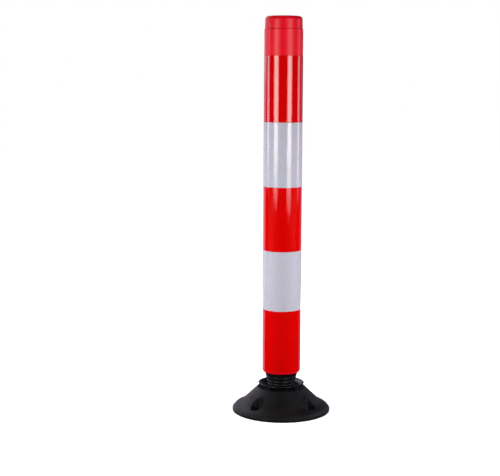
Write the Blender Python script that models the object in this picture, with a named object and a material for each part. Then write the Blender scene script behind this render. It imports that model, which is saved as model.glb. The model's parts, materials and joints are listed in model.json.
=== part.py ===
"""Delineator post: a rubber base, a screw-in flange, a flexible neck and a hollow post.

Units are metres, +Z is up, and the origin is the centre of the base's underside.
Every round piece is an outline in (radius, height) turned about the vertical axis.
"""
import math

import bmesh
import bpy
from mathutils import Matrix, Vector

# Overall sizes
POST_HEIGHT = 0.825
BASE_RADIUS = 0.103
TUBE_RADIUS = 0.0397
TUBE_WALL = 0.003
GAP = 0.0003

# Heights of the main levels
CROWN_Z = 0.0507
DISH_RIM_Z = 0.0611
DISH_FLOOR_Z = 0.0537
TUBE_BOTTOM_Z = 0.0835
TUBE_FLOOR_Z = 0.0885
TUBE_TOP_Z = 0.798

# Base: its outer side from the lip up, as (radius, height), and the hollow in its underside
LIP_Z = 0.0052
SLOPE_FOOT = (0.0975, 0.0117)
SLOPE_TOP = (0.082, 0.020)
CONE_TOP_RADIUS = 0.050
UNDERSIDE_RECESS = 0.002
RECESS_INNER_RADIUS = 0.020
RECESS_OUTER_RADIUS = 0.058
LUG_INNER_RADIUS = 0.0372
LUG_OUTER_RADIUS = 0.0463
LUG_ANGLE = math.radians(19)

# Anchors: four bolts, 90 degrees apart
ANCHOR_COUNT = 4
ANCHOR_CIRCLE_RADIUS = 0.075
ANCHOR_START_ANGLE = math.radians(45)
POCKET_RADIUS = 0.0135
POCKET_FLOOR_Z = 0.012
BUSH_BORE_RADIUS = 0.0067
BUSH_RADIUS = 0.009
BUSH_HEAD_RADIUS = 0.012
BUSH_HEAD_HEIGHT = 0.002

# Screw joint between the flange and the socket in the base
THREAD_PITCH = 0.008
THREAD_TURNS = 3
THREAD_START_Z = 0.022
THREAD_ROOT_HALF_WIDTH = 0.0020
THREAD_CREST_HALF_WIDTH = 0.0009
THREAD_SINK = 0.0006
STEM_RADIUS = 0.0235
STEM_CREST_RADIUS = 0.026
STEM_BORE_RADIUS = 0.017
STEM_BOTTOM_Z = 0.015
SOCKET_CREST_RADIUS = 0.024
SOCKET_BORE_RADIUS = 0.0265
SOCKET_RADIUS = 0.034
SOCKET_FOOT_RADIUS = 0.040
SOCKET_FOOT_TOP_Z = 0.012
SOCKET_BOTTOM_Z = 0.006
SOCKET_TOP_Z = 0.049
WASHER_SEAT_RADIUS = 0.0366
THRUST_WASHER_THICKNESS = 0.0015
THRUST_WASHER_HOLE = 0.028
THRUST_WASHER_RADIUS = 0.036

# Flange: the dish's own outline is listed as (radius, height)
DISH_UNDERSIDE = (0.0468, 0.0560)
DISH_EDGE = (0.0487, 0.0593)
DISH_RIM_RADIUS = 0.0469
DISH_SLOPE_FOOT = (0.0385, 0.0545)
DISH_FLOOR_RADIUS = 0.0300
HUB_RADIUS = 0.0362
HUB_UNDERSIDE_Z = 0.0511
WEB_UNDERSIDE_Z = 0.0437

# Studs, nuts and washers
STUD_RADIUS = 0.006
STUD_HOLE_RADIUS = 0.0065
NUT_ACROSS_CORNERS = 0.0208
NUT_HEIGHT = 0.010
WASHER_THICKNESS = 0.0022
LOWER_PLATE_RADIUS = 0.022
UPPER_PLATE_RADIUS = 0.024
PLATE_THICKNESS = 0.003
LOWER_WASHER_RADIUS = 0.012
UPPER_WASHER_RADIUS = 0.018
STUD_TAIL = 0.0035
STUD_CHAMFER = 0.001
STUD_CLEARANCE = 0.0004

# Neck: radius at each end, and the grooves that band it, as (height, depth, width)
NECK_BOTTOM_RADIUS = 0.0264
NECK_TOP_RADIUS = 0.0347
NECK_TAPER_POWER = 0.9
NECK_GROOVES = ((0.0600, 0.0014, 0.0024), (0.0672, 0.0016, 0.0026), (0.0752, 0.0018, 0.0026))
NECK_SPRING_Z = 0.0686

# Film: edges of the five bands, bottom to top, and the seam at the back
FILM_EDGES_Z = (0.0888, 0.2186, 0.3437, 0.4763, 0.6098, 0.7445)
FILM_NAMES = ("film_red_low", "film_white_low", "film_red_mid", "film_white_high", "film_red_high")
FILM_RADIUS = 0.040
FILM_THICKNESS = 0.0004
FILM_RECESS = 0.0005
FILM_SEAM_ANGLE = math.radians(1.0)

# Cap
CAP_RIM_RADIUS = 0.0387
CAP_TOP_RADIUS = 0.0381
CAP_EDGE_RADIUS = 0.0072
CAP_DOME = 0.0010
CAP_DOME_RADIUS = 0.020
CAP_SKIRT_BOTTOM_Z = 0.773
CAP_WALL = 0.003

# Facets round a full turn
BASE_FACETS = 48
ROUND_FACETS = 36
SMALL_FACETS = 18
THREAD_FACETS = 24
ARC_STEPS = 2

BACK = math.radians(90)
FULL_TURN = math.tau


def clear_scene():
    for thing in list(bpy.data.objects):
        bpy.data.objects.remove(thing, do_unlink=True)


def principled(name, colour, roughness, metallic=0.0):
    """One named Principled material."""
    material = bpy.data.materials.new(name)
    material.use_nodes = True
    shader = material.node_tree.nodes["Principled BSDF"]
    shader.inputs["Base Color"].default_value = (*colour, 1.0)
    shader.inputs["Roughness"].default_value = roughness
    shader.inputs["Metallic"].default_value = metallic
    return material


def rounded(outline):
    """Turn (r, z) and (r, z, corner_radius) points into an outline with true arcs."""
    points = []
    count = len(outline)
    for index, corner in enumerate(outline):
        here = Vector(corner[:2])
        if len(corner) == 2:
            points.append(tuple(here))
            continue
        radius = corner[2]
        before = (Vector(outline[index - 1][:2]) - here).normalized()
        after = (Vector(outline[(index + 1) % count][:2]) - here).normalized()
        half = before.angle(after) / 2
        centre = here + (before + after).normalized() * radius / math.sin(half)
        start = here + before * radius / math.tan(half) - centre
        sweep = math.pi - 2 * half
        if before.x * after.y - before.y * after.x > 0:
            sweep = -sweep
        for step in range(ARC_STEPS + 1):
            turned_by = Matrix.Rotation(sweep * step / ARC_STEPS, 2)
            points.append(tuple(centre + turned_by @ start))
    return points


def add_turned(mesh, outline, facets, start=0.0, sweep=FULL_TURN):
    """Add one turned body to a bmesh; a part turn gets flat ends."""
    profile = rounded(outline)
    whole = sweep >= FULL_TURN
    steps = facets if whole else max(2, round(facets * sweep / FULL_TURN))
    rings = steps if whole else steps + 1
    columns = []
    on_axis = {}
    for ring in range(rings):
        angle = start + sweep * ring / steps
        column = []
        for index, (radius, height) in enumerate(profile):
            if radius < 1e-9:
                if index not in on_axis:
                    on_axis[index] = mesh.verts.new((0, 0, height))
                column.append(on_axis[index])
            else:
                place = (radius * math.cos(angle), radius * math.sin(angle), height)
                column.append(mesh.verts.new(place))
        columns.append(column)
    faces = []
    for ring in range(steps):
        this, following = columns[ring], columns[(ring + 1) % rings]
        for index in range(len(profile)):
            after = (index + 1) % len(profile)
            corners = [this[index], following[index], following[after], this[after]]
            corners = list(dict.fromkeys(corners))
            if len(corners) > 2:
                faces.append(mesh.faces.new(corners))
    if not whole:
        faces.append(mesh.faces.new(columns[0]))
        faces.append(mesh.faces.new(columns[-1]))
    bmesh.ops.recalc_face_normals(mesh, faces=faces)


def finish(name, mesh, material, place=(0, 0, 0), parent=None):
    """Make a bmesh into a named object, smooth on its round faces."""
    data = bpy.data.meshes.new(name)
    mesh.to_mesh(data)
    mesh.free()
    data.shade_smooth()
    data.set_sharp_from_angle(angle=math.radians(30))
    if material:
        data.materials.append(material)
    thing = bpy.data.objects.new(name, data)
    bpy.context.collection.objects.link(thing)
    if parent:
        thing.parent = parent
        thing.location = Vector(place) - parent.matrix_world.translation
    else:
        thing.location = place
    return thing


def turned(name, outline, facets, material, place=(0, 0, 0), parent=None):
    mesh = bmesh.new()
    add_turned(mesh, [(r, z - place[2], *rest) for r, z, *rest in outline], facets)
    return finish(name, mesh, material, place, parent)


def cut_or_join(thing, tool, operation):
    """Add an exact Boolean whose tool stays in the file as a hidden guide."""
    tool.hide_render = True
    tool.display_type = "WIRE"
    modifier = thing.modifiers.new(tool.name, "BOOLEAN")
    modifier.operation = operation
    modifier.object = tool
    modifier.solver = "EXACT"


def joint_empty(name, height, parent=None):
    """An empty on a joint's axis; the joint's moving pieces hang on it."""
    empty = bpy.data.objects.new(name, None)
    bpy.context.collection.objects.link(empty)
    empty.parent = parent
    empty.location = (0, 0, height - (parent.matrix_world.translation.z if parent else 0))
    bpy.context.view_layer.update()
    return empty


def anchor_angles():
    return [ANCHOR_START_ANGLE + FULL_TURN * n / ANCHOR_COUNT for n in range(ANCHOR_COUNT)]


def anchor_place(angle):
    return Vector((math.cos(angle), math.sin(angle), 0)) * ANCHOR_CIRCLE_RADIUS


def base_body(material):
    """The rubber bell, hollow in the middle for the socket insert."""
    recess = UNDERSIDE_RECESS
    outline = [
        (0, 0),
        (RECESS_INNER_RADIUS, 0),
        (RECESS_INNER_RADIUS + recess, recess),
        (RECESS_OUTER_RADIUS - recess, recess),
        (RECESS_OUTER_RADIUS, 0),
        (BASE_RADIUS, 0, 0.0008),
        (BASE_RADIUS, LIP_Z, 0.0012),
        (*SLOPE_FOOT, 0.006),
        (*SLOPE_TOP, 0.004),
        (CONE_TOP_RADIUS, CROWN_Z, 0.0015),
        (WASHER_SEAT_RADIUS, CROWN_Z),
        (WASHER_SEAT_RADIUS, SOCKET_TOP_Z - GAP),
        (SOCKET_RADIUS + GAP, SOCKET_TOP_Z - GAP),
        (SOCKET_RADIUS + GAP, SOCKET_FOOT_TOP_Z + GAP),
        (SOCKET_FOOT_RADIUS + GAP, SOCKET_FOOT_TOP_Z + GAP),
        (SOCKET_FOOT_RADIUS + GAP, SOCKET_BOTTOM_Z - GAP),
        (0, SOCKET_BOTTOM_Z - GAP),
    ]
    base = turned("base_body", outline, BASE_FACETS, material)
    cut_or_join(base, crown_lugs(), "UNION")
    cut_or_join(base, anchor_cutters(), "DIFFERENCE")
    return base


def dish_underside(radius):
    """Height of the flange's sloping underside."""
    edge_radius, edge_z = DISH_UNDERSIDE
    slope = (edge_z - HUB_UNDERSIDE_Z) / (edge_radius - HUB_RADIUS)
    return HUB_UNDERSIDE_Z + slope * (radius - HUB_RADIUS)


def crown_lugs():
    """Four lugs over the anchors carry the dish; a hook spanner turns it between them."""
    mesh = bmesh.new()
    outline = [
        (LUG_INNER_RADIUS, CROWN_Z - 0.004),
        (LUG_OUTER_RADIUS, CROWN_Z - 0.004),
        (LUG_OUTER_RADIUS, dish_underside(LUG_OUTER_RADIUS) - 2 * GAP),
        (LUG_INNER_RADIUS, dish_underside(LUG_INNER_RADIUS) - 2 * GAP),
    ]
    for angle in anchor_angles():
        add_turned(mesh, outline, 2 * BASE_FACETS, angle - LUG_ANGLE / 2, LUG_ANGLE)
    return finish("crown_lug_guide", mesh, None)


def anchor_cutters():
    """Stepped cutters: a bolt pocket above and the bush's hole below."""
    mesh = bmesh.new()
    hole = BUSH_RADIUS + GAP
    outline = [
        (0, -0.005),
        (hole, -0.005),
        (hole, POCKET_FLOOR_Z),
        (POCKET_RADIUS, POCKET_FLOOR_Z),
        (POCKET_RADIUS, CROWN_Z + 0.010),
        (0, CROWN_Z + 0.010),
    ]
    for angle in anchor_angles():
        made = len(mesh.verts)
        add_turned(mesh, outline, ROUND_FACETS)
        mesh.verts.ensure_lookup_table()
        bmesh.ops.translate(mesh, verts=mesh.verts[made:], vec=anchor_place(angle))
    return finish("anchor_cutter_guide", mesh, None)


def anchor_bushes(material):
    """Steel bushes that take the anchor bolts' clamping force."""
    head_bottom = POCKET_FLOOR_Z + GAP
    head_top = head_bottom + BUSH_HEAD_HEIGHT
    outline = [
        (BUSH_BORE_RADIUS, GAP),
        (BUSH_RADIUS, GAP),
        (BUSH_RADIUS, head_bottom),
        (BUSH_HEAD_RADIUS, head_bottom),
        (BUSH_HEAD_RADIUS, head_top),
        (BUSH_BORE_RADIUS, head_top),
    ]
    for number, angle in enumerate(anchor_angles(), start=1):
        turned(f"anchor_bush_{number}", outline, SMALL_FACETS, material, anchor_place(angle))


def thread_ridge(name, root_radius, crest_radius, first_z):
    """A helical ridge, right-handed, that runs out at both ends."""
    steps = THREAD_FACETS * THREAD_TURNS
    run_out = THREAD_FACETS / 4
    mesh = bmesh.new()
    rings = []
    for step in range(steps + 1):
        angle = FULL_TURN * step / THREAD_FACETS
        height = first_z + THREAD_PITCH * step / THREAD_FACETS
        rise = min(1.0, 0.3 + 0.7 * min(step, steps - step) / run_out)
        crest = root_radius + (crest_radius - root_radius) * rise
        corners = (
            (root_radius, -THREAD_ROOT_HALF_WIDTH),
            (crest, -THREAD_CREST_HALF_WIDTH),
            (crest, THREAD_CREST_HALF_WIDTH),
            (root_radius, THREAD_ROOT_HALF_WIDTH),
        )
        rings.append([
            mesh.verts.new((r * math.cos(angle), r * math.sin(angle), height + dz))
            for r, dz in corners
        ])
    for this, following in zip(rings, rings[1:]):
        for index in range(4):
            after = (index + 1) % 4
            mesh.faces.new((this[index], following[index], following[after], this[after]))
    mesh.faces.new(rings[0])
    mesh.faces.new(rings[-1])
    bmesh.ops.recalc_face_normals(mesh, faces=mesh.faces)
    return finish(name, mesh, None)


def socket_insert(material):
    """The threaded socket moulded into the base; its wide foot locks it in."""
    outline = [
        (SOCKET_BORE_RADIUS, SOCKET_BOTTOM_Z),
        (SOCKET_FOOT_RADIUS, SOCKET_BOTTOM_Z),
        (SOCKET_FOOT_RADIUS, SOCKET_FOOT_TOP_Z),
        (SOCKET_RADIUS, SOCKET_FOOT_TOP_Z),
        (SOCKET_RADIUS, SOCKET_TOP_Z),
        (SOCKET_BORE_RADIUS, SOCKET_TOP_Z),
    ]
    socket = turned("socket_insert", outline, THREAD_FACETS, material)
    root = SOCKET_BORE_RADIUS + THREAD_SINK
    middle_of_groove = THREAD_START_Z - THREAD_PITCH / 2
    ridge = thread_ridge("socket_thread_guide", root, SOCKET_CREST_RADIUS, middle_of_groove)
    cut_or_join(socket, ridge, "UNION")


def flat_washer(name, hole, radius, bottom, thickness, facets, material, parent):
    top = bottom + thickness
    outline = [(hole, bottom), (radius, bottom), (radius, top), (hole, top)]
    turned(name, outline, facets, material, parent=parent)


def thrust_washer(material, parent):
    bottom = SOCKET_TOP_Z + GAP
    flat_washer(
        "thrust_washer", THRUST_WASHER_HOLE, THRUST_WASHER_RADIUS, bottom,
        THRUST_WASHER_THICKNESS, ROUND_FACETS, material, parent,
    )


def screw_flange(material, parent):
    """The dish, its hub and the hollow threaded stem, as one moulding."""
    outline = [
        (STUD_HOLE_RADIUS, WEB_UNDERSIDE_Z),
        (STEM_BORE_RADIUS, WEB_UNDERSIDE_Z),
        (STEM_BORE_RADIUS, STEM_BOTTOM_Z),
        (STEM_RADIUS, STEM_BOTTOM_Z, 0.001),
        (STEM_RADIUS, HUB_UNDERSIDE_Z),
        (HUB_RADIUS, HUB_UNDERSIDE_Z),
        (*DISH_UNDERSIDE, 0.001),
        (*DISH_EDGE, 0.0012),
        (DISH_RIM_RADIUS, DISH_RIM_Z, 0.0009),
        (*DISH_SLOPE_FOOT, 0.006),
        (DISH_FLOOR_RADIUS, DISH_FLOOR_Z),
        (STUD_HOLE_RADIUS, DISH_FLOOR_Z),
    ]
    flange = turned("screw_flange", outline, THREAD_FACETS * 2, material, parent=parent)
    root = STEM_RADIUS - THREAD_SINK
    ridge = thread_ridge("stem_thread_guide", root, STEM_CREST_RADIUS, THREAD_START_Z)
    ridge.parent = parent
    cut_or_join(flange, ridge, "UNION")


def stud(name, plate_radius, plate_bottom, direction, length, material, parent):
    """A steel plate with a welded stud pointing up (+1) or down (-1)."""
    plate_top = plate_bottom + PLATE_THICKNESS
    inner, outer = (plate_top, plate_bottom) if direction > 0 else (plate_bottom, plate_top)
    tip = inner + direction * length
    outline = [
        (0, outer),
        (plate_radius, outer),
        (plate_radius, inner),
        (STUD_RADIUS, inner),
        (STUD_RADIUS, tip - direction * STUD_CHAMFER),
        (STUD_RADIUS - STUD_CHAMFER, tip),
        (0, tip),
    ]
    turned(name, outline, SMALL_FACETS, material, parent=parent)


def stud_washer(name, radius, bottom, material, parent):
    hole = STUD_RADIUS + STUD_CLEARANCE
    flat_washer(name, hole, radius, bottom, WASHER_THICKNESS, SMALL_FACETS, material, parent)


def ring_of_verts(mesh, radius, count, height):
    turns = [FULL_TURN * n / count for n in range(count)]
    return [mesh.verts.new((radius * math.cos(t), radius * math.sin(t), height)) for t in turns]


def nut(name, bottom, material, parent):
    """A hexagon nut with a round hole, its faces built side by side."""
    mesh = bmesh.new()
    levels = []
    for height in (bottom, bottom + NUT_HEIGHT):
        outer = ring_of_verts(mesh, NUT_ACROSS_CORNERS / 2, 6, height)
        inner = ring_of_verts(mesh, STUD_RADIUS + STUD_CLEARANCE, SMALL_FACETS, height)
        levels.append((outer, inner))
    for low, high in zip(*levels):
        for n in range(len(low)):
            after = (n + 1) % len(low)
            mesh.faces.new((low[n], low[after], high[after], high[n]))
    per_side = SMALL_FACETS // 6
    for outer, inner in levels:
        for n in range(6):
            span = [inner[(n * per_side + k) % SMALL_FACETS] for k in range(per_side + 1)]
            mesh.faces.new([outer[n], outer[(n + 1) % 6], *reversed(span)])
    bmesh.ops.recalc_face_normals(mesh, faces=mesh.faces)
    finish(name, mesh, material, parent=parent)


def neck_radius(height):
    """The neck's taper: quick at first, then almost straight."""
    along = (height - DISH_FLOOR_Z) / (TUBE_BOTTOM_Z - DISH_FLOOR_Z)
    return NECK_BOTTOM_RADIUS + (NECK_TOP_RADIUS - NECK_BOTTOM_RADIUS) * along ** NECK_TAPER_POWER


def flex_neck(material, parent):
    """The rubber neck, banded by grooves, with a recess at each end for a bonded plate."""
    bottom = DISH_FLOOR_Z + GAP
    top = TUBE_BOTTOM_Z - GAP
    outline = [
        (0, bottom + PLATE_THICKNESS + GAP),
        (LOWER_PLATE_RADIUS + GAP, bottom + PLATE_THICKNESS + GAP),
        (LOWER_PLATE_RADIUS + GAP, bottom),
        (neck_radius(bottom), bottom, 0.0008),
    ]
    for height, depth, width in NECK_GROOVES:
        low, high = height - width / 2, height + width / 2
        outline += [
            (neck_radius(low), low),
            (neck_radius(height) - depth, low + width / 4),
            (neck_radius(height) - depth, high - width / 4),
            (neck_radius(high), high),
        ]
    outline += [
        (neck_radius(top), top, 0.0008),
        (UPPER_PLATE_RADIUS + GAP, top),
        (UPPER_PLATE_RADIUS + GAP, top - PLATE_THICKNESS - GAP),
        (0, top - PLATE_THICKNESS - GAP),
    ]
    turned("flex_neck", outline, ROUND_FACETS, material, parent=parent)


def post_tube(material, parent):
    """The hollow post, recessed where the film goes, with a thick floor for the nut."""
    inside = TUBE_RADIUS - TUBE_WALL
    recess = TUBE_RADIUS - FILM_RECESS
    low, high = FILM_EDGES_Z[0], FILM_EDGES_Z[-1]
    outline = [
        (STUD_HOLE_RADIUS, TUBE_BOTTOM_Z),
        (TUBE_RADIUS, TUBE_BOTTOM_Z, 0.0048),
        (TUBE_RADIUS, low),
        (recess, low),
        (recess, high),
        (TUBE_RADIUS, high),
        (TUBE_RADIUS, TUBE_TOP_Z, 0.0009),
        (inside, TUBE_TOP_Z),
        (inside, TUBE_FLOOR_Z, 0.002),
        (STUD_HOLE_RADIUS, TUBE_FLOOR_Z),
    ]
    turned("post_tube", outline, ROUND_FACETS, material, parent=parent)


def films(materials, parent):
    """Five bands of reflective film in the tube's recess, each with its seam at the back."""
    bands = zip(FILM_NAMES, FILM_EDGES_Z, FILM_EDGES_Z[1:])
    inside = FILM_RADIUS - FILM_THICKNESS
    for name, low, high in bands:
        mesh = bmesh.new()
        outline = [
            (inside, low + GAP),
            (FILM_RADIUS, low + GAP),
            (FILM_RADIUS, high - GAP),
            (inside, high - GAP),
        ]
        start = BACK + FILM_SEAM_ANGLE / 2
        add_turned(mesh, outline, ROUND_FACETS, start, FULL_TURN - FILM_SEAM_ANGLE)
        finish(name, mesh, materials["red" if "red" in name else "white"], parent=parent)


def top_cap(material, parent):
    """The push-in cap: a shallow dome with a skirt inside the tube."""
    skirt = TUBE_RADIUS - TUBE_WALL - GAP
    outline = [
        (0, POST_HEIGHT),
        (CAP_DOME_RADIUS, POST_HEIGHT - CAP_DOME * 0.3),
        (CAP_TOP_RADIUS, POST_HEIGHT - CAP_DOME, CAP_EDGE_RADIUS),
        (CAP_RIM_RADIUS, TUBE_TOP_Z + GAP),
        (skirt, TUBE_TOP_Z + GAP),
        (skirt, CAP_SKIRT_BOTTOM_Z),
        (skirt - CAP_WALL, CAP_SKIRT_BOTTOM_Z),
        (skirt - CAP_WALL, POST_HEIGHT - CAP_DOME - CAP_WALL, 0.003),
        (0, POST_HEIGHT - CAP_WALL),
    ]
    turned("top_cap", outline, ROUND_FACETS, material, parent=parent)


def build():
    clear_scene()
    rubber = principled("base_rubber", (0.012, 0.012, 0.014), 0.45)
    flange_plastic = principled("flange_plastic", (0.010, 0.010, 0.012), 0.35)
    neck_rubber = principled("neck_rubber", (0.015, 0.015, 0.017), 0.40)
    zinc = principled("zinc_steel", (0.62, 0.62, 0.60), 0.35, 1.0)
    washer_nylon = principled("washer_nylon", (0.02, 0.02, 0.022), 0.5)
    tube_red = principled("tube_red", (0.72, 0.010, 0.020), 0.38)
    cap_red = principled("cap_red", (0.74, 0.010, 0.022), 0.38)
    film = {
        "red": principled("film_red", (0.62, 0.0, 0.004), 0.18),
        "white": principled("film_white", (0.58, 0.58, 0.68), 0.20),
    }

    lift = joint_empty("lift_axis", 0)
    turn = joint_empty("unscrew_axis", 0, lift)
    lean_sideways = joint_empty("lean_axis", NECK_SPRING_Z, turn)

    base_body(rubber)
    anchor_bushes(zinc)
    socket_insert(zinc)
    thrust_washer(washer_nylon, lift)

    screw_flange(flange_plastic, turn)
    lower_plate_z = DISH_FLOOR_Z + GAP
    lower_washer_z = WEB_UNDERSIDE_Z - GAP - WASHER_THICKNESS
    lower_nut_z = lower_washer_z - GAP - NUT_HEIGHT
    reach = lower_plate_z - lower_nut_z + STUD_TAIL
    stud("lower_stud", LOWER_PLATE_RADIUS, lower_plate_z, -1, reach, zinc, turn)
    stud_washer("lower_washer", LOWER_WASHER_RADIUS, lower_washer_z, zinc, turn)
    nut("lower_nut", lower_nut_z, zinc, turn)

    flex_neck(neck_rubber, lean_sideways)

    upper_plate_z = TUBE_BOTTOM_Z - GAP - PLATE_THICKNESS
    upper_washer_z = TUBE_FLOOR_Z + GAP
    upper_nut_z = upper_washer_z + WASHER_THICKNESS + GAP
    reach = upper_nut_z + NUT_HEIGHT + STUD_TAIL - upper_plate_z - PLATE_THICKNESS
    stud("upper_stud", UPPER_PLATE_RADIUS, upper_plate_z, 1, reach, zinc, lean_sideways)
    stud_washer("upper_washer", UPPER_WASHER_RADIUS, upper_washer_z, zinc, lean_sideways)
    nut("upper_nut", upper_nut_z, zinc, lean_sideways)
    post_tube(tube_red, lean_sideways)
    films(film, lean_sideways)
    top_cap(cap_red, lean_sideways)


build()
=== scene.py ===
"""Looks of the delineator post: fine meshes, procedural materials, light, floor and camera.

Lengths are metres in the frame's own axes. Each visible CAD node gets a finer turned piece of
the same size, and the rubber neck is two pieces that meet at the joints' height.
"""
import json
import math

import bmesh
import bpy
from mathutils import Matrix, Vector, geometry

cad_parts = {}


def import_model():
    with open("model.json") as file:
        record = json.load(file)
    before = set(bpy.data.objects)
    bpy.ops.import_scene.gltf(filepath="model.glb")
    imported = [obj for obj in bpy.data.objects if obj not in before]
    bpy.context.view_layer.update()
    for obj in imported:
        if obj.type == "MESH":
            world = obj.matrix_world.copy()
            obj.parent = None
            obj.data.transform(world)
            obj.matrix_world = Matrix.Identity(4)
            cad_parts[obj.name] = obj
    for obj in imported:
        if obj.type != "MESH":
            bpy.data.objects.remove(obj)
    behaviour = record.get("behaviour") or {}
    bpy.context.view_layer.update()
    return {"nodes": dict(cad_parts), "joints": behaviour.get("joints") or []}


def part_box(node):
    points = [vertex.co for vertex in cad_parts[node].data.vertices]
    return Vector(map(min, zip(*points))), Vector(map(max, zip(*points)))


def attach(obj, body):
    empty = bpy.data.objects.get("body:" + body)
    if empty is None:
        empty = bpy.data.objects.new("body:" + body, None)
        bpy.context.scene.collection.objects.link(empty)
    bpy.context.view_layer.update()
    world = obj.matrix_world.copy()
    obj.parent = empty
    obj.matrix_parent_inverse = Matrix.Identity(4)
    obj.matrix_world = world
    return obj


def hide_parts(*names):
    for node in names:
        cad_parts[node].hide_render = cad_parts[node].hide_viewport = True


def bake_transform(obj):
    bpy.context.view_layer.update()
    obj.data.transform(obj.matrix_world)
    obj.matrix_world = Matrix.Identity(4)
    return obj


FULL_TURN = math.tau
BACK = math.radians(90)

# Fineness of the turned pieces
ROUND_STEPS = 160
BASE_STEPS = 192
POCKET_STEPS = 64
ARC_STEPS = 6
WELD = 1e-6
HOLDING_STEP = 0.0004
SHEET_MARGIN = 0.0004
HOLE_MARGIN = 0.0006

# The rest of these constants are shapes that the CAD boxes don't give.
# GAP is kept clear above and below the film, and under the cap's edge.
GAP = 0.0003
STUD_HOLE_RADIUS = 0.0065

# Base: its upper outline is (radius, height, corner radius) from the slope's foot to the crown
LIP_Z = 0.0052
CROWN_Z = 0.0507
BASE_TOP = [
    (0.0975, 0.0117, 0.006),
    (0.082, 0.020, 0.004),
    (0.050, CROWN_Z, 0.0015),
]
SEAT_RADIUS = 0.0366
SEAT_Z = 0.0487
UNDER_INNER, UNDER_OUTER = 0.060, 0.0990
UNDER_RINGS = 10
RECESS_DEPTH = 0.002
SOCKET_RADIUS, SOCKET_FLANGE_RADIUS = 0.0343, 0.0403
SOCKET_Z, SOCKET_FLANGE_Z = 0.0057, 0.0123
SHEET_INNER, SHEET_OUTER = 0.0580, 0.0915
SHEET_RINGS = 22
LUG_ANGLE = math.radians(19)
LUG_INNER, LUG_OUTER = 0.0374, 0.0463
LUG_CLEARANCE = 0.0006
LUG_SINK = 0.002
LUG_BEVEL = 0.0007

# Anchor pockets and their bushes
ANCHOR_CIRCLE_RADIUS = 0.075
ANCHOR_ANGLES = [math.radians(45 + 90 * n) for n in range(4)]
POCKET_RADIUS = 0.0135
POCKET_FLOOR_Z = 0.012
POCKET_RIM = 0.0016
POCKET_CORNER = 0.0012
BUSH_HOLE_RADIUS = 0.0093
BUSH_RADIUS = 0.0090
BUSH_BORE_RADIUS = 0.0067
BUSH_HEAD_HEIGHT = 0.002

# Flange and its thread, whose foot and tip are half widths
HUB_RADIUS = 0.0362
HUB_Z = 0.0511
DISH_FLOOR_Z = 0.0537
DISH_SLOPE = 0.0049 / 0.0106
STEM_RADIUS = 0.0235
STEM_BORE_RADIUS = 0.0170
WEB_Z = 0.0437
THREAD_ROOT, THREAD_CREST = 0.0229, 0.0260
THREAD_FOOT, THREAD_TIP = 0.0020, 0.0009
THREAD_PITCH = 0.008
THREAD_START_Z = 0.022
THREAD_TURNS = 3
THREAD_STEPS = 64

# Neck: grooves are (height, depth, width)
NECK_BOTTOM_RADIUS = 0.0264
NECK_TOP_RADIUS = 0.0347
NECK_TAPER_POWER = 0.9
NECK_TOP_Z = 0.0835
NECK_GROOVES = ((0.0600, 0.0014, 0.0024), (0.0672, 0.0016, 0.0026), (0.0752, 0.0018, 0.0026))
NECK_STEPS = 96
LOWER_HOLLOW_RADIUS, UPPER_HOLLOW_RADIUS = 0.0226, 0.0246
HOLLOW_DEPTH = 0.006
BEND_INSET = 0.001

# Tube, film and cap
TUBE_WALL = 0.003
TUBE_CORNER = 0.0048
TUBE_FLOOR = 0.005
FILM_RECESS = 0.0005
FILM_THICKNESS = 0.0004
FILM_EDGE = 0.00012
FILM_SEAM = math.radians(1.0)
CAP_TOP_RADIUS = 0.0381
CAP_SKIRT_RADIUS = 0.0364
CAP_WALL = 0.003

# Film lattice: the diamonds' width and height
LATTICE_WIDTH = 0.0047
LATTICE_HEIGHT = 0.0056
FILM_NAMES = ("film_red_low", "film_white_low", "film_red_mid", "film_white_high", "film_red_high")

# Camera
CAMERA_AZIMUTH = math.radians(-5)
CAMERA_YAW = math.radians(1.577)
CAMERA_PITCH = math.radians(7.765)
CAMERA_ROLL = math.radians(0.23)
CAMERA_DISTANCE = 2.445
CAMERA_HEIGHT = 0.701

# Light
WORLD_DIFFUSE = 0.06
WORLD_GLOSSY = 0.0
TOP_SIZE = 0.18
TOP_Z = 1.12
TOP_POWER = 3.0
WHITE = (1, 1, 1)
LILAC = (0.90, 0.75, 1.0)

# Upright soft boxes, as name, degrees round from the camera, distance, width, bottom, top, power,
# tint, whether the object's gloss shows it and whether it lights the object's own colour
STRIPS = (
    ("left_strip", -42, 1.5, 0.62, 0.365, 1.02, 10.3, WHITE, True, True),
    ("right_strip", 37.5, 1.5, 0.64, 0.345, 1.02, 10.3, WHITE, True, True),
    ("left_rim", -98.5, 1.5, 0.44, 0.392, 1.02, 5.6, LILAC, True, False),
    ("right_rim", 102.5, 1.5, 0.36, 0.350, 1.02, 5.6, LILAC, True, False),
    ("left_back", -143, 1.5, 1.1, -0.45, 0.70, 1.06, LILAC, True, False),
    ("right_back", 143, 1.5, 0.8, -0.45, 0.55, 0.36, LILAC, True, False),
    ("right_edge", 136, 1.5, 0.6, 0.56, 1.12, 0.42, LILAC, True, False),
    ("right_behind", 170, 1.5, 0.42, 0.0, 0.55, 0.4, LILAC, True, False),
    ("left_high", -138, 1.5, 1.2, 0.70, 2.4, 1.4, WHITE, True, False),
    ("back_fill", 180, 1.5, 1.0, 0.1, 1.1, 2.2, WHITE, False, True),
    ("left_fill", -73, 0.6, 0.4, 0.15, 0.42, 12.6, WHITE, False, True),
    ("right_fill", 73, 0.6, 0.4, 0.15, 0.42, 12.0, WHITE, False, True),
)


# ---------------------------------------------------------------- mesh helpers

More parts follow.
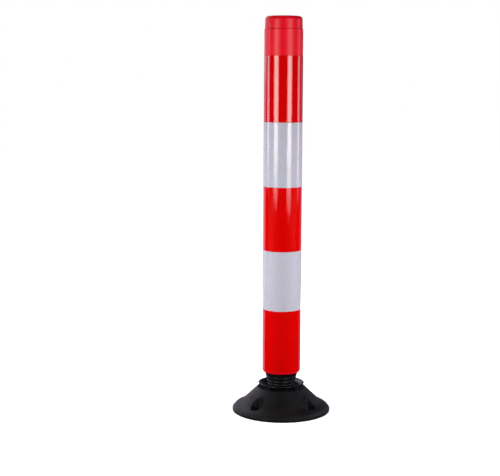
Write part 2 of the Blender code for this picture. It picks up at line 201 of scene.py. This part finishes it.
def rounded(outline, steps=ARC_STEPS):
    """Turn (r, z) and (r, z, corner_radius) points into an outline with true arcs."""
    points = []
    count = len(outline)
    for index, corner in enumerate(outline):
        here = Vector(corner[:2])
        if len(corner) == 2:
            points.append(tuple(here))
            continue
        radius = corner[2]
        before = (Vector(outline[index - 1][:2]) - here).normalized()
        after = (Vector(outline[(index + 1) % count][:2]) - here).normalized()
        half = before.angle(after) / 2
        centre = here + (before + after).normalized() * radius / math.sin(half)
        start = here + before * radius / math.tan(half) - centre
        sweep = math.pi - 2 * half
        if before.x * after.y - before.y * after.x > 0:
            sweep = -sweep
        for step in range(steps + 1):
            turned_by = Matrix.Rotation(sweep * step / steps, 2)
            points.append(tuple(centre + turned_by @ start))
    return points


def divided(points, longest):
    """Split an outline's straight stretches: no step over longest, and a short step at each end.

    The short steps keep the shading of a rounded corner from spreading along the flat."""
    result = [points[0]]
    for low, high in zip(points, points[1:]):
        run = math.dist(low, high)
        inner = max(1, math.ceil(run / longest))
        shares = [n / inner for n in range(1, inner + 1)]
        if run > 5 * HOLDING_STEP:
            hold = HOLDING_STEP / run
            shares = sorted({hold, 1 - hold, *shares})
        for share in shares:
            result.append(tuple(a + (b - a) * share for a, b in zip(low, high)))
    return result


def add_strip(mesh, points, steps, closed=True, start=0.0, sweep=FULL_TURN):
    """Sweep an outline about Z. closed joins its last point to its first.

    A part turn of a closed outline gets end faces."""
    whole = sweep >= FULL_TURN
    rings = steps if whole else steps + 1
    uv = mesh.loops.layers.uv.verify()
    along = [0.0]
    for low, high in zip(points, [*points[1:], points[0]]):
        along.append(along[-1] + math.dist(low, high))
    girth = max(r for r, _ in points)
    columns = []
    on_axis = {}
    for ring in range(rings):
        angle = start + sweep * ring / steps
        column = []
        for index, (radius, height) in enumerate(points):
            if radius < WELD:
                if index not in on_axis:
                    on_axis[index] = mesh.verts.new((0, 0, height))
                column.append(on_axis[index])
            else:
                x, y = radius * math.cos(angle), radius * math.sin(angle)
                column.append(mesh.verts.new((x, y, height)))
        columns.append(column)
    faces = []
    for ring in range(steps):
        this, following = columns[ring], columns[(ring + 1) % rings]
        around = [start + sweep * (ring + k) / steps for k in (0, 1)]
        for index in range(len(points) if closed else len(points) - 1):
            after = (index + 1) % len(points)
            corners = [
                (this[index], around[0], along[index]),
                (following[index], around[1], along[index]),
                (following[after], around[1], along[index + 1]),
                (this[after], around[0], along[index + 1]),
            ]
            face_verts = []
            places = []
            for vert, turn, length in corners:
                if vert not in face_verts:
                    face_verts.append(vert)
                    places.append((turn * girth, length))
            if len(face_verts) < 3:
                continue
            face = mesh.faces.new(face_verts)
            for loop, place in zip(face.loops, places):
                loop[uv].uv = place
            faces.append(face)
    if not whole and closed:
        faces.append(mesh.faces.new(columns[0]))
        faces.append(mesh.faces.new(columns[-1]))
    return faces


def finish(name, mesh, material, sharp=40):
    """Make a bmesh into an object with outward faces, smooth but for its true edges."""
    bmesh.ops.remove_doubles(mesh, verts=mesh.verts, dist=WELD)
    bmesh.ops.recalc_face_normals(mesh, faces=mesh.faces)
    data = bpy.data.meshes.new(name)
    mesh.to_mesh(data)
    mesh.free()
    data.shade_smooth()
    data.set_sharp_from_angle(angle=math.radians(sharp))
    data.materials.append(material)
    piece = bpy.data.objects.new(name, data)
    bpy.context.scene.collection.objects.link(piece)
    return piece


def turned(name, outline, material, steps=ROUND_STEPS, longest=0.02, sharp=40):
    """One closed outline turned about Z, as an object."""
    mesh = bmesh.new()
    points = rounded(outline)
    closing = divided([*points, points[0]], longest)[:-1]
    add_strip(mesh, closing, steps)
    return finish(name, mesh, material, sharp)


def bevelled(piece, width, segments=3):
    """Round a piece's true edges."""
    bevel = piece.modifiers.new("soft_edges", "BEVEL")
    bevel.width = width
    bevel.segments = segments
    bevel.limit_method = "ANGLE"
    bevel.angle_limit = math.radians(40)
    bevel.harden_normals = False


# ---------------------------------------------------------------- material helper

class Material:
    """A Principled material whose nodes are added one call at a time."""

    def __init__(self, name, roughness, metallic=0.0, **sockets):
        self.data = bpy.data.materials.new(name)
        self.data.use_nodes = True
        self.tree = self.data.node_tree
        self.shader = self.tree.nodes["Principled BSDF"]
        self.set(roughness=roughness, metallic=metallic, **sockets)

    def set(self, **sockets):
        """Set or link the shader's sockets, named in lower case with underscores."""
        for name, value in sockets.items():
            label = name.replace("_", " ").title().replace("Ior", "IOR")
            self._put(self.shader.inputs[label], value)

    def _put(self, socket, value):
        if isinstance(value, bpy.types.NodeSocket):
            self.tree.links.new(value, socket)
        elif isinstance(value, tuple) and len(value) == 3 and socket.type == "RGBA":
            socket.default_value = (*value, 1.0)
        else:
            socket.default_value = value

    def node(self, kind, inputs=(), out=0, **settings):
        """Add a node, give its inputs by index or name, and return one output."""
        node = self.tree.nodes.new("ShaderNode" + kind)
        for name, value in settings.items():
            setattr(node, name, value)
        pairs = inputs.items() if isinstance(inputs, dict) else enumerate(inputs)
        for key, value in pairs:
            if value is not None:
                self._put(node.inputs[key], value)
        return node.outputs[out]

    def math(self, operation, first, second=None, clamp=False):
        return self.node("Math", [first, second], operation=operation, use_clamp=clamp)

    def noise(self, place, scale, detail=3.0, roughness=0.5):
        return self.node("TexNoise", {
            "Vector": place, "Scale": scale, "Detail": detail, "Roughness": roughness,
        })

    def ramp(self, value, low, high, to_low=0.0, to_high=1.0, smooth=False):
        return self.node("MapRange", {
            "Value": value, "From Min": low, "From Max": high, "To Min": to_low, "To Max": to_high,
        }, interpolation_type="SMOOTHSTEP" if smooth else "LINEAR")

    def mix(self, share, low, high):
        node = self.tree.nodes.new("ShaderNodeMix")
        node.data_type = "RGBA"
        for index, value in ((0, share), (6, low), (7, high)):
            self._put(node.inputs[index], value)
        return node.outputs[2]

    def bump(self, height, distance, strength=1.0, normal=None):
        inputs = {"Height": height, "Distance": distance, "Strength": strength}
        if normal is not None:
            inputs["Normal"] = normal
        return self.node("Bump", inputs)

    def place(self):
        return self.node("TexCoord", out="Object")

    def wrap(self):
        """UV in metres: round the turned piece, then along its outline."""
        return self.node("TexCoord", out="UV")


# ---------------------------------------------------------------- materials

def satin_plastic(name, colour, deep):
    """Moulded polyurethane: faint mottling, a fine skin and a few rubbed patches."""
    m = Material(name, roughness=0.30, specular_ior_level=0.22)
    place = m.place()
    mottle = m.ramp(m.noise(place, 38.0, 4.0), 0.35, 0.65)
    m.set(base_color=m.mix(mottle, deep, colour))
    rubbed = m.ramp(m.noise(place, 16.0, 5.0, 0.65), 0.45, 0.75)
    m.set(roughness=m.ramp(rubbed, 0.0, 1.0, 0.34, 0.39))
    skin = m.noise(place, 1400.0, 2.0)
    waves = m.noise(place, 90.0, 2.0)
    m.set(normal=m.bump(skin, 0.00001, 0.6, m.bump(waves, 0.00006, 0.5)))
    return m.data


def film(name, cell_colour, other_colour, line_colour, line_share):
    """Prismatic sheeting: quilted diamond cells under a glossy skin, with darker walls."""
    m = Material(name, roughness=0.08, specular_ior_level=0.5)
    u, v = (m.node("SeparateXYZ", [m.wrap()], out=k) for k in (0, 1))
    across = m.math("DIVIDE", u, LATTICE_WIDTH)
    up = m.math("DIVIDE", v, LATTICE_HEIGHT)
    waves = [
        m.math("ABSOLUTE", m.math("SINE", m.math("MULTIPLY", value, math.pi)))
        for value in (m.math("ADD", across, up), m.math("SUBTRACT", across, up))
    ]
    pillow = m.math("MULTIPLY", *waves)
    wall = m.ramp(m.math("MINIMUM", *waves), line_share * 0.5, line_share * 1.5, 1.0, 0.0, True)
    patch = m.ramp(m.noise(m.place(), 30.0, 3.0), 0.3, 0.7)
    cells = m.mix(patch, other_colour, cell_colour)
    m.set(base_color=m.mix(wall, cells, line_colour))
    m.set(roughness=m.ramp(m.noise(m.place(), 60.0, 4.0), 0.3, 0.7, 0.055, 0.085))
    ripple = m.noise(m.place(), 55.0, 2.0)
    m.set(normal=m.bump(pillow, 0.00006, 1.0, m.bump(ripple, 0.00002, 0.4)))
    return m.data


def rubber(name, colour, worn, roughness=0.5, grain=1.0, gloss=0.5):
    """Black moulded rubber: fine grain, faint bloom and dust, and rubbed patches."""
    m = Material(name, roughness=roughness, specular_ior_level=gloss)
    place = m.place()
    bloom = m.ramp(m.noise(place, 22.0, 6.0, 0.65), 0.45, 0.80)
    m.set(base_color=m.mix(bloom, colour, worn))
    rubbed = m.noise(place, 70.0, 5.0, 0.6)
    m.set(roughness=m.ramp(rubbed, 0.3, 0.7, roughness - 0.06, roughness + 0.08))
    fine = m.noise(place, 1500.0, 3.0)
    pitted = m.noise(place, 260.0, 4.0)
    m.set(normal=m.bump(fine, 0.00002, 0.7 * grain, m.bump(pitted, 0.00006, 0.6 * grain)))
    return m.data


def zinc(name, dull=(0.50, 0.50, 0.49), bright=(0.66, 0.66, 0.63)):
    """Zinc-plated steel with a faint crystalline flake and turning marks."""
    m = Material(name, roughness=0.35, metallic=1.0)
    place = m.place()
    flake = m.node("TexVoronoi", {"Vector": place, "Scale": 320.0}, out="Color")
    tone = m.ramp(m.node("SeparateXYZ", [flake], out=0), 0.0, 1.0)
    m.set(base_color=m.mix(tone, dull, bright))
    m.set(roughness=m.ramp(tone, 0.0, 1.0, 0.28, 0.42))
    m.set(normal=m.bump(m.noise(place, 900.0, 3.0), 0.00002, 0.5))
    return m.data


def nylon(name):
    """Black nylon with faint mottling and a fine skin."""
    m = Material(name, roughness=0.5)
    place = m.place()
    m.set(base_color=m.mix(m.noise(place, 60.0), (0.016, 0.016, 0.018), (0.024, 0.024, 0.026)))
    m.set(normal=m.bump(m.noise(place, 1200.0), 0.00001, 0.5))
    return m.data


# ---------------------------------------------------------------- the base

def base_profile(radius):
    """The outer outline, from the underside round the lip and over the crown to the socket."""
    outline = [
        (0.058, 0.0),
        (radius, 0.0, 0.0008),
        (radius, LIP_Z, 0.0012),
        *BASE_TOP,
        (SEAT_RADIUS, CROWN_Z, 0.0004),
        (SEAT_RADIUS, SEAT_Z),
    ]
    return rounded(outline)[:-1]


def height_on(profile, radius):
    """Height of the base's upper surface at a radius, along its outline."""
    for (r_out, z_out), (r_in, z_in) in zip(profile, profile[1:]):
        if r_in <= radius <= r_out and z_in >= z_out and r_out - r_in > WELD:
            return z_out + (z_in - z_out) * (r_out - radius) / (r_out - r_in)
    return CROWN_Z


def circle(radius, count, centre=(0, 0)):
    return [
        (
            centre[0] + radius * math.cos(FULL_TURN * n / count),
            centre[1] + radius * math.sin(FULL_TURN * n / count),
        )
        for n in range(count)
    ]


def spread(start, end, steps):
    """Evenly spaced values from start to end, both included."""
    return [start + (end - start) * n / steps for n in range(steps + 1)]


def anchor_centres():
    reach = ANCHOR_CIRCLE_RADIUS
    return [(reach * math.cos(angle), reach * math.sin(angle)) for angle in ANCHOR_ANGLES]


def add_holed_sheet(mesh, ring_radii, hole_radius, height, near=()):
    """A ring-shaped sheet with four round holes, as a Delaunay mesh lifted to height(r).

    ring_radii runs from the inner to the outer edge. near lists extra rings round each hole."""
    inner, outer = ring_radii[0], ring_radii[-1]
    centres = anchor_centres()
    keep_off = hole_radius + (near[-1] if near else 0) + HOLE_MARGIN
    points = []
    edges = []

    def add_loop(loop):
        first = len(points)
        points.extend(loop)
        count = len(loop)
        edges.extend((first + n, first + (n + 1) % count) for n in range(count))

    add_loop(circle(inner, BASE_STEPS))
    add_loop(circle(outer, BASE_STEPS))
    for centre in centres:
        add_loop(circle(hole_radius, POCKET_STEPS, centre))
        for extra in near:
            for point in circle(hole_radius + extra, POCKET_STEPS, centre):
                if inner + SHEET_MARGIN < math.hypot(*point) < outer - SHEET_MARGIN:
                    points.append(point)
    for radius in ring_radii[1:-1]:
        for x, y in circle(radius, BASE_STEPS):
            if all(math.dist((x, y), centre) > keep_off for centre in centres):
                points.append((x, y))
    made = geometry.delaunay_2d_cdt([Vector(p) for p in points], edges, [], 0, 1e-7)
    flat, triangles = made[0], made[2]
    verts = [mesh.verts.new((p.x, p.y, height(p.length))) for p in flat]
    uv = mesh.loops.layers.uv.verify()
    for triangle in triangles:
        middle = sum((flat[i] for i in triangle), Vector((0, 0))) / 3
        if middle.length < inner * math.cos(math.pi / BASE_STEPS):
            continue
        if any(math.dist(middle, centre) < hole_radius for centre in centres):
            continue
        face = mesh.faces.new([verts[i] for i in triangle])
        for loop in face.loops:
            loop[uv].uv = loop.vert.co.xy


def add_pocket(mesh, centre, profile):
    """A counterbore with a soft rim, a flat floor and the bush's hole down to the underside."""
    rim_radius = POCKET_RADIUS + POCKET_RIM
    turns = [math.pi / 2 * step / ARC_STEPS for step in range(ARC_STEPS + 1)]
    rows = []
    for turn in turns:
        drop = POCKET_RIM * (1 - math.cos(turn))
        rows.append((rim_radius - POCKET_RIM * math.sin(turn), "rim", drop))
    for turn in turns:
        rise = POCKET_CORNER * (1 - math.sin(turn))
        rows.append((POCKET_RADIUS - POCKET_CORNER * (1 - math.cos(turn)), "floor", rise))
    rows.append((BUSH_HOLE_RADIUS, "floor", 0.0))
    rows.append((BUSH_HOLE_RADIUS, "under", 0.0))
    rings = []
    for radius, level, offset in rows:
        ring = []
        for n, (x, y) in enumerate(circle(radius, POCKET_STEPS, centre)):
            rim_x, rim_y = circle(rim_radius, POCKET_STEPS, centre)[n]
            top = height_on(profile, math.hypot(rim_x, rim_y))
            height = {"rim": top - offset, "floor": POCKET_FLOOR_Z + offset, "under": 0.0}[level]
            ring.append(mesh.verts.new((x, y, height)))
        rings.append(ring)
    for this, following in zip(rings, rings[1:]):
        for n in range(POCKET_STEPS):
            after = (n + 1) % POCKET_STEPS
            mesh.faces.new((this[n], this[after], following[after], following[n]))


def base_piece(material):
    """The rubber bell: turned strips, with triangulated sheets where the pockets break through."""
    profile = base_profile(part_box("base_body")[1].x)
    mesh = bmesh.new()
    # underside: its recessed middle, then the ring with the bushes' holes
    middle = [
        (0.0, 0.0),
        (0.020, 0.0),
        (0.022, RECESS_DEPTH),
        (0.056, RECESS_DEPTH),
        (0.058, 0.0),
        (UNDER_INNER, 0.0),
    ]
    add_strip(mesh, middle, BASE_STEPS, closed=False)
    under_radii = spread(UNDER_INNER, UNDER_OUTER, UNDER_RINGS)
    add_holed_sheet(mesh, under_radii, BUSH_HOLE_RADIUS, lambda r: 0.0)
    # lip and outer slope
    outside = [p for p in profile if p[0] > SHEET_OUTER]
    start = next(i for i, p in enumerate(outside) if p[0] > UNDER_OUTER)
    lip_top = (SHEET_OUTER, height_on(profile, SHEET_OUTER))
    lip = [(UNDER_OUTER, 0.0), *outside[start:], lip_top]
    add_strip(mesh, divided(lip, 0.003), BASE_STEPS, closed=False)
    # the stretch with the pockets
    radii = spread(SHEET_INNER, SHEET_OUTER, SHEET_RINGS)
    rim_radius = POCKET_RADIUS + POCKET_RIM
    near = (0.0007, 0.0016)
    add_holed_sheet(mesh, radii, rim_radius, lambda r: height_on(profile, r), near)
    for centre in anchor_centres():
        add_pocket(mesh, centre, profile)
    # cone, crown and the socket's hollow
    inside = [p for p in profile if p[0] < SHEET_INNER and p[1] > POCKET_FLOOR_Z]
    crown = [(SHEET_INNER, height_on(profile, SHEET_INNER)), *inside]
    add_strip(mesh, divided(crown, 0.003), BASE_STEPS, closed=False)
    hollow = [
        inside[-1],
        (SEAT_RADIUS, SEAT_Z),
        (SOCKET_RADIUS, SEAT_Z),
        (SOCKET_RADIUS, SOCKET_FLANGE_Z),
        (SOCKET_FLANGE_RADIUS, SOCKET_FLANGE_Z),
        (SOCKET_FLANGE_RADIUS, SOCKET_Z),
        (0.0, SOCKET_Z),
    ]
    add_strip(mesh, hollow, BASE_STEPS, closed=False)
    piece = finish("base_bell", mesh, material, sharp=50)
    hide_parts("base_body")
    return piece


def crown_lugs(material):
    """The four blocks on the crown that carry the dish."""
    mesh = bmesh.new()
    sunk_z = CROWN_Z - LUG_SINK
    top = [
        (radius, HUB_Z + DISH_SLOPE * (radius - HUB_RADIUS) - LUG_CLEARANCE)
        for radius in (LUG_OUTER, LUG_INNER)
    ]
    outline = [(LUG_INNER, sunk_z), (LUG_OUTER, sunk_z), *top]
    for angle in ANCHOR_ANGLES:
        add_strip(mesh, outline, 10, True, angle - LUG_ANGLE / 2, LUG_ANGLE)
    piece = finish("crown_lugs", mesh, material, sharp=30)
    bevelled(piece, LUG_BEVEL)
    return piece


def bush_pieces(material):
    """Flanged steel bushes in the anchor pockets."""
    pieces = []
    for number, centre in enumerate(anchor_centres(), start=1):
        node = f"anchor_bush_{number}"
        low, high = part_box(node)
        head = (high.x - low.x) / 2
        outline = [
            (BUSH_BORE_RADIUS, low.z, 0.0003),
            (BUSH_RADIUS, low.z, 0.0003),
            (BUSH_RADIUS, high.z - BUSH_HEAD_HEIGHT),
            (head, high.z - BUSH_HEAD_HEIGHT, 0.0003),
            (head, high.z, 0.0005),
            (BUSH_BORE_RADIUS, high.z, 0.0005),
        ]
        piece = turned(f"bush_{number}", outline, material, steps=64)
        piece.location = (*centre, 0)
        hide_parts(node)
        pieces.append(piece)
    return pieces


# ---------------------------------------------------------------- flange and neck

def add_thread(mesh):
    """The stem's right-hand helical ridge, which runs out at both ends."""
    steps = THREAD_STEPS * THREAD_TURNS
    run_out = THREAD_STEPS / 4
    root = THREAD_ROOT
    rings = []
    for step in range(steps + 1):
        angle = FULL_TURN * step / THREAD_STEPS
        height = THREAD_START_Z + THREAD_PITCH * step / THREAD_STEPS
        rise = min(1.0, 0.3 + 0.7 * min(step, steps - step) / run_out)
        tip = root + (THREAD_CREST - root) * rise
        ring = []
        section = (
            (root, -THREAD_FOOT), (tip, -THREAD_TIP), (tip, THREAD_TIP), (root, THREAD_FOOT),
        )
        for radius, dz in section:
            x, y = radius * math.cos(angle), radius * math.sin(angle)
            ring.append(mesh.verts.new((x, y, height + dz)))
        rings.append(ring)
    for this, following in zip(rings, rings[1:]):
        for index in range(4):
            after = (index + 1) % 4
            mesh.faces.new((this[index], following[index], following[after], this[after]))
    mesh.faces.new(rings[0])
    mesh.faces.new(rings[-1])


def flange_piece(material):
    """The dish with its rolled rim, the hub, and the threaded stem below."""
    low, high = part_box("screw_flange")
    outline = [
        (STUD_HOLE_RADIUS, WEB_Z),
        (STEM_BORE_RADIUS, WEB_Z),
        (STEM_BORE_RADIUS, low.z, 0.0004),
        (STEM_RADIUS, low.z, 0.0010),
        (STEM_RADIUS, HUB_Z, 0.0006),
        (HUB_RADIUS, HUB_Z, 0.0006),
        (0.0468, 0.0560, 0.0010),
        (high.x, 0.0593, 0.0012),
        (0.0469, high.z, 0.0009),
        (0.0385, DISH_FLOOR_Z + 0.0008, 0.0060),
        (0.0300, DISH_FLOOR_Z),
        (STUD_HOLE_RADIUS, DISH_FLOOR_Z),
    ]
    mesh = bmesh.new()
    add_strip(mesh, divided(rounded(outline), 0.004), BASE_STEPS)
    add_thread(mesh)
    piece = finish("dish_flange", mesh, material, sharp=45)
    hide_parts("screw_flange")
    return piece


def neck_radius(height):
    along = (height - DISH_FLOOR_Z) / (NECK_TOP_Z - DISH_FLOOR_Z)
    return NECK_BOTTOM_RADIUS + (NECK_TOP_RADIUS - NECK_BOTTOM_RADIUS) * along ** NECK_TAPER_POWER


def neck_outline(bottom, top):
    """The banded outer side of the neck, from bottom to top, as dense points."""
    points = []
    for height in spread(bottom, top, NECK_STEPS):
        radius = neck_radius(height)
        for middle, depth, width in NECK_GROOVES:
            off = abs(height - middle) / (width * 0.62)
            if off < 1:
                radius -= depth * (0.5 + 0.5 * math.cos(math.pi * off))
        points.append((radius, height))
    return points


def neck_pieces(material):
    """The rubber neck in two halves that meet at the joints' height.

    Each half is hollowed towards its bonded plate by enough to keep off it as the neck bends."""
    low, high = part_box("flex_neck")
    middle = frame["joints"][-1]["pos_m"][2]
    whole = neck_outline(low.z, high.z)
    below = [p for p in whole if p[1] < middle - WELD]
    above = [p for p in whole if p[1] > middle + WELD]
    share = (middle - below[-1][1]) / (above[0][1] - below[-1][1])
    seam = (below[-1][0] + (above[0][0] - below[-1][0]) * share, middle)
    clear, inset = 0.0002, 0.0015
    lower = [
        (0, low.z + HOLLOW_DEPTH),
        (LOWER_HOLLOW_RADIUS, low.z + HOLLOW_DEPTH),
        (LOWER_HOLLOW_RADIUS, low.z),
        *below,
        seam,
        (seam[0] - inset, middle - clear),
        (0, middle - clear),
    ]
    upper = [
        (0, middle + clear),
        (seam[0] - inset, middle + clear),
        seam,
        *above,
        (UPPER_HOLLOW_RADIUS, high.z),
        (UPPER_HOLLOW_RADIUS, high.z - HOLLOW_DEPTH),
        (0, high.z - HOLLOW_DEPTH),
    ]
    halves = (
        ("neck_lower", lower, "flange", "neck", low.z + BEND_INSET, middle),
        ("neck_upper", upper, "neck", "post", middle, high.z - BEND_INSET),
    )
    for name, points, first, second, start, end in halves:
        mesh = bmesh.new()
        add_strip(mesh, points, ROUND_STEPS, closed=False)
        piece = finish(name, mesh, material, sharp=50)
        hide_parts("flex_neck")
        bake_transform(piece)


# ---------------------------------------------------------------- post, film and cap

def tube_piece(material):
    """The hollow post, recessed where the film goes."""
    low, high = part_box("post_tube")
    radius = high.x
    film_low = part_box(FILM_NAMES[0])[0].z - GAP
    film_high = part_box(FILM_NAMES[-1])[1].z + GAP
    inside = radius - TUBE_WALL
    outline = [
        (STUD_HOLE_RADIUS, low.z),
        (radius, low.z, TUBE_CORNER),
        (radius, film_low),
        (radius - FILM_RECESS, film_low),
        (radius - FILM_RECESS, film_high),
        (radius, film_high),
        (radius, high.z, 0.0009),
        (inside, high.z, 0.0004),
        (inside, low.z + TUBE_FLOOR, 0.002),
        (STUD_HOLE_RADIUS, low.z + TUBE_FLOOR),
    ]
    piece = turned("tube_shell", outline, material)
    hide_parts("post_tube")
    return piece


def film_piece(node, material):
    """One band of film, a thin sheet with its seam at the back."""
    low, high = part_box(node)
    radius = high.x
    outline = [
        (radius - FILM_THICKNESS, low.z),
        (radius, low.z, FILM_EDGE),
        (radius, high.z, FILM_EDGE),
        (radius - FILM_THICKNESS, high.z),
    ]
    mesh = bmesh.new()
    points = divided(rounded(outline, 2), 0.01)
    add_strip(mesh, points, ROUND_STEPS, True, BACK + FILM_SEAM / 2, FULL_TURN - FILM_SEAM)
    piece = finish(node.replace("film", "sheeting"), mesh, material)
    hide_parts(node)
    return piece


def cap_piece(material):
    """The hollow push-in cap: a shallow dome with a skirt inside the tube."""
    low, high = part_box("top_cap")
    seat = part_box("post_tube")[1].z + GAP
    skirt = CAP_SKIRT_RADIUS
    bore = skirt - CAP_WALL
    outline = [
        (0.0, high.z),
        (0.020, high.z - 0.0003),
        (CAP_TOP_RADIUS, high.z - 0.0010, 0.0072),
        (high.x, seat, 0.0005),
        (skirt, seat),
        (skirt, low.z, 0.0006),
        (bore, low.z, 0.0006),
        (bore, high.z - 0.004, 0.003),
        (0.0, high.z - 0.003),
    ]
    piece = turned("cap_shell", outline, material, longest=0.004)
    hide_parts("top_cap")
    return piece


# ---------------------------------------------------------------- stage

def floor_piece():
    """A pale floor with painted light: it glows, dimmer round the post and brightening into the
    backdrop with distance.
    """
    mesh = bmesh.new()
    bmesh.ops.create_circle(mesh, cap_ends=True, segments=96, radius=9.0)
    m = Material("pale_floor", roughness=0.9, specular_ior_level=0.0)
    distance = m.node("VectorMath", [m.place()], out="Value", operation="LENGTH")
    # Painted light: the floor's own glow, weaker near the post so that its shadow shows, full white
    # further off.
    glow = m.ramp(distance, 0.08, 0.50, 0.35, 1.0, True)
    m.set(base_color=(0.86, 0.86, 0.86), emission_color=(1.0, 1.0, 1.0), emission_strength=glow)
    piece = finish("floor", mesh, m.data)
    piece.location = (0, 0, -0.0002)
    piece.visible_glossy = False
    piece.visible_diffuse = False


def world():
    """White to the camera, dim to the object, so that the strips alone make its highlights."""
    scene = bpy.context.scene
    scene.world = bpy.data.worlds.new("studio")
    scene.world.use_nodes = True
    tree = scene.world.node_tree
    path = tree.nodes.new("ShaderNodeLightPath")
    level = tree.nodes.new("ShaderNodeMapRange")
    glossy = tree.nodes.new("ShaderNodeMath")
    glossy.operation = "MULTIPLY_ADD"
    glossy.inputs[1].default_value = WORLD_GLOSSY - WORLD_DIFFUSE
    glossy.inputs[2].default_value = WORLD_DIFFUSE
    level.inputs["To Max"].default_value = 1.0
    tree.links.new(path.outputs["Is Glossy Ray"], glossy.inputs[0])
    tree.links.new(glossy.outputs[0], level.inputs["To Min"])
    tree.links.new(path.outputs["Is Camera Ray"], level.inputs["Value"])
    tree.links.new(level.outputs["Result"], tree.nodes["Background"].inputs["Strength"])
    tree.nodes["Background"].inputs["Color"].default_value = (1, 1, 1, 1)


def area_light(name, width, height, power, tint=WHITE):
    """A soft box that the camera doesn't see; power is its brightness, whatever its size."""
    lamp = bpy.data.lights.new(name, "AREA")
    lamp.shape = "RECTANGLE"
    lamp.size = width
    lamp.size_y = height
    lamp.energy = power * width * height * math.pi
    lamp.color = tint
    holder = bpy.data.objects.new(name, lamp)
    bpy.context.scene.collection.objects.link(holder)
    holder.visible_camera = False
    return holder


def strip_light(name, degrees, distance, width, low, high, power, tint, mirrored, soft):
    """An upright soft box that faces the post; STRIPS says what each value is."""
    holder = area_light(name, width, high - low, power, tint)
    angle = CAMERA_AZIMUTH + math.radians(degrees)
    middle = (low + high) / 2
    holder.location = (distance * math.sin(angle), -distance * math.cos(angle), middle)
    holder.rotation_euler = (math.radians(90), 0, angle)
    holder.visible_glossy = mirrored
    holder.visible_diffuse = soft


def top_light():
    """A small soft box just above the cap, close enough to leave the base as it is."""
    holder = area_light("top_fill", TOP_SIZE, TOP_SIZE, TOP_POWER)
    holder.location = (0, 0, TOP_Z)
    holder.visible_glossy = False


def camera():
    data = bpy.data.cameras.new("camera")
    data.lens = 85
    data.sensor_width = 36
    view = bpy.data.objects.new("camera", data)
    bpy.context.scene.collection.objects.link(view)
    view.location = (
        CAMERA_DISTANCE * math.sin(CAMERA_AZIMUTH),
        -CAMERA_DISTANCE * math.cos(CAMERA_AZIMUTH),
        CAMERA_HEIGHT,
    )
    turn = Matrix.Rotation(CAMERA_AZIMUTH + CAMERA_YAW, 3, "Z")
    tilt = Matrix.Rotation(math.radians(90) - CAMERA_PITCH, 3, "X")
    roll = Matrix.Rotation(CAMERA_ROLL, 3, "Z")
    view.rotation_euler = (turn @ tilt @ roll).to_euler()
    bpy.context.scene.camera = view


def repaint(node, material):
    """Give an inner CAD node, which is shown as it is, its own material."""
    data = frame["nodes"][node].data
    data.materials.clear()
    data.materials.append(material)


def main():
    tube_red = satin_plastic("tube_red_plastic", (0.66, 0.0018, 0.012), (0.62, 0.001, 0.010))
    cap_red = satin_plastic("cap_red_plastic", (0.65, 0.0018, 0.012), (0.61, 0.001, 0.010))
    red_film = film(
        "red_sheeting", (0.55, 0.0008, 0.0008), (0.51, 0.0010, 0.0010), (0.38, 0.0006, 0.0006), 0.22
    )
    white_film = film(
        "white_sheeting", (0.46, 0.435, 0.490), (0.43, 0.435, 0.525), (0.16, 0.156, 0.185), 0.22
    )
    base_rubber = rubber(
        "base_rubber_fine", (0.0030, 0.0030, 0.0034), (0.0060, 0.0060, 0.0068), 0.46, 1.0, 0.25
    )
    neck_rubber = rubber(
        "neck_rubber_fine", (0.0024, 0.0027, 0.0030), (0.0050, 0.0054, 0.0056), 0.34, 0.6
    )
    dish_plastic = rubber(
        "flange_plastic_fine", (0.0020, 0.0020, 0.0024), (0.0036, 0.0036, 0.0042), 0.32, 0.3, 0.42
    )
    steel = zinc("zinc_plated_steel")
    black_nylon = nylon("nylon_washer")

    base = base_piece(base_rubber)
    lugs = crown_lugs(base_rubber)
    for piece in (base, lugs):
        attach(piece, "base")
    # The bushes' steel is painted near black: painted shade for the dark inside of the anchor
    # pockets.
    for piece in bush_pieces(zinc("bush_steel_painted_shade", (0.05, 0.05, 0.05), (0.09, 0.09, 0.088))):
        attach(piece, "base")
    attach(flange_piece(dish_plastic), "flange")
    neck_pieces(neck_rubber)
    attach(tube_piece(tube_red), "post")
    for node in FILM_NAMES:
        red = "red" in node
        piece = film_piece(node, red_film if red else white_film)
        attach(piece, "post")
    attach(cap_piece(cap_red), "post")

    repaint("socket_insert", steel)
    for end in ("lower", "upper"):
        for fastener in ("stud", "washer", "nut"):
            repaint(f"{end}_{fastener}", steel)
    repaint("thrust_washer", black_nylon)

    floor_piece()
    world()
    for strip in STRIPS:
        strip_light(*strip)
    top_light()
    camera()
    bpy.context.scene.view_settings.view_transform = "Standard"


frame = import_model()
main()
